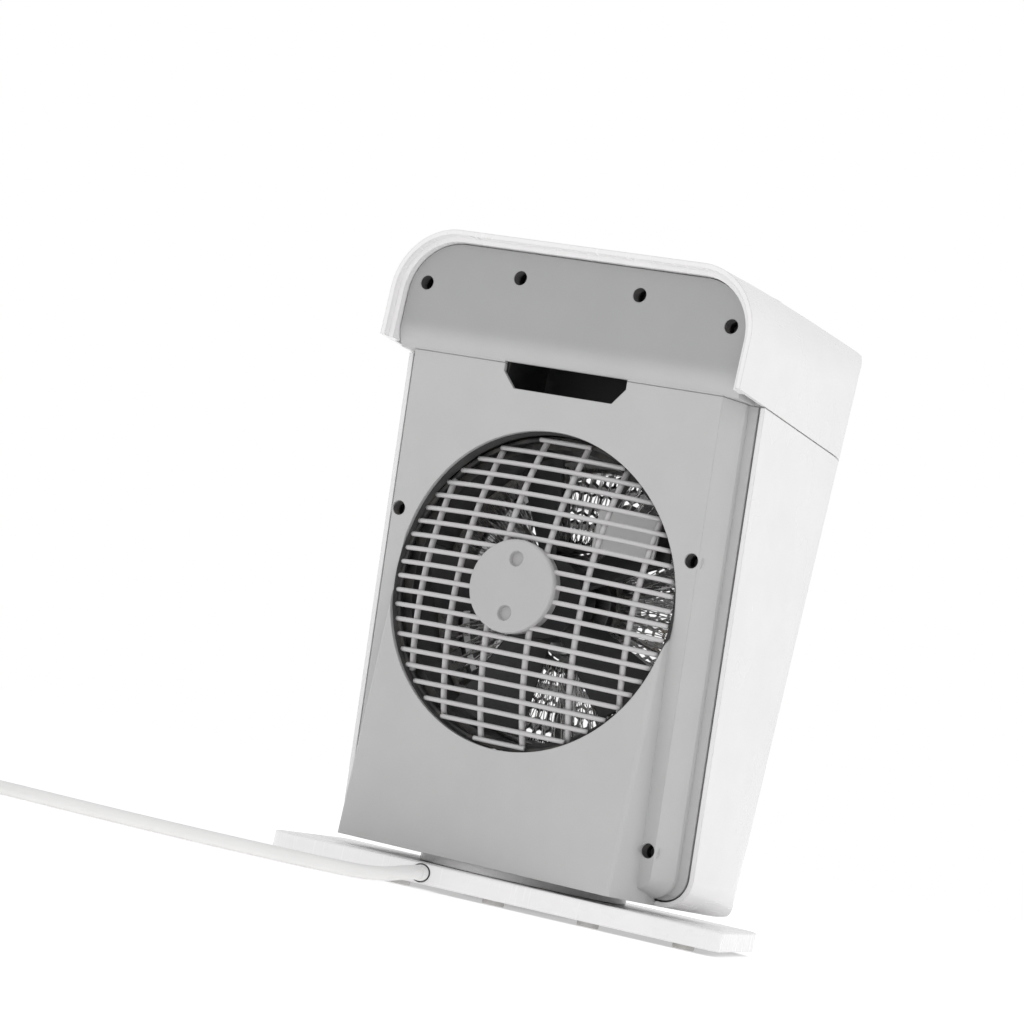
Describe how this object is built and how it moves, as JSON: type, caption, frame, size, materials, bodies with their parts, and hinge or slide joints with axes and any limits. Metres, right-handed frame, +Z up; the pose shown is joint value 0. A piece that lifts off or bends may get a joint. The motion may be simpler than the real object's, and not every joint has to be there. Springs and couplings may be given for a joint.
{
  "type": "fan heater",
  "caption": "Upright fan heater with a domed round rear grille, carry recess and cap controls, turning on a flat base plate with a mains lead.",
  "frame": {"origin": "on the swivel axis, at the level of the feet's soles", "axes": "+Z up, the heater's front faces -Y, its intake grille faces +Y; the base plate is turned 18.5 degrees about +Z under it"},
  "size_m": [0.4187, 0.4885, 0.3373],
  "materials": {
    "white_shell": "satin white",
    "grey_panel": "fine satin",
    "brow_panel": "fine satin",
    "grey_grille": "fine satin",
    "dark_plastic": "matt black",
    "dark_steel": "blackened",
    "steel": "zinc plated",
    "bronze": "sintered",
    "mica": "pearly",
    "wire": "drawn wire",
    "pale_plate": "smooth",
    "amber": "clear tinted",
    "rubber": "soft",
    "cord_white": "smooth PVC"
  },
  "bodies": {
    "base": {"base_plate": "white_shell", "base_cover": "grey_panel", "cover_screws": "steel", "rubber_feet": "rubber", "cord_relief": "cord_white", "mains_cord": "cord_white", "cord_coil": "cord_white", "cord_tail": "cord_white", "coil_tie": "dark_plastic", "plug_body": "cord_white", "plug_pins": "steel"},
    "heater": {"front_shell": "white_shell", "top_cap": "white_shell", "front_grille": "white_shell", "back_panel": "grey_panel", "upper_panel": "brow_panel", "rear_grille": "grey_grille", "handle_cup": "dark_plastic", "back_screws": "dark_steel", "fan_duct": "dark_plastic", "motor_can": "steel", "motor_bracket": "steel", "rear_bearing": "bronze", "front_bearing": "bronze", "mica_frame": "mica", "heating_wires": "wire", "thermostat_plate": "pale_plate", "thermal_cutout": "steel", "front_mesh": "steel", "control_plate": "grey_panel", "thermostat": "steel", "mode_switch": "dark_plastic", "swing_switch": "dark_plastic", "pilot_lens": "amber", "tip_switch": "dark_plastic", "terminal_block": "pale_plate", "swing_motor": "steel", "turntable": "grey_panel", "retaining_washer": "steel", "washer_screws": "steel"},
    "fan": {"impeller": "dark_plastic", "motor_shaft": "steel"},
    "heat_knob": {"heat_knob": "white_shell"},
    "mode_knob": {"mode_knob": "white_shell"},
    "swing_button": {"swing_button": "grey_panel"}
  },
  "joints": [
    {"name": "swivel", "type": "hinge", "parent": "base", "child": "heater", "pos_m": [0, 0, 0.012], "axis": [0, 0, 1], "range_deg": [-16.5, 53.5]},
    {"name": "fan_spin", "type": "hinge", "parent": "heater", "child": "fan", "pos_m": [0, 0.035, 0.156], "axis": [0, 1, 0], "continuous": true},
    {"name": "heat_turn", "type": "hinge", "parent": "heater", "child": "heat_knob", "pos_m": [0.044, -0.024, 0.32019], "axis": [0, -0.0802, 0.9968], "range_deg": [-270, 0]},
    {"name": "mode_turn", "type": "hinge", "parent": "heater", "child": "mode_knob", "pos_m": [-0.044, -0.024, 0.32019], "axis": [0, -0.0802, 0.9968], "range_deg": [-135, 0]},
    {"name": "button_press", "type": "slide", "parent": "heater", "child": "swing_button", "axis": [0, 0.0802, -0.9968], "range_m": [0, 0.0025], "stiffness_N_per_m": 400}
  ]
}
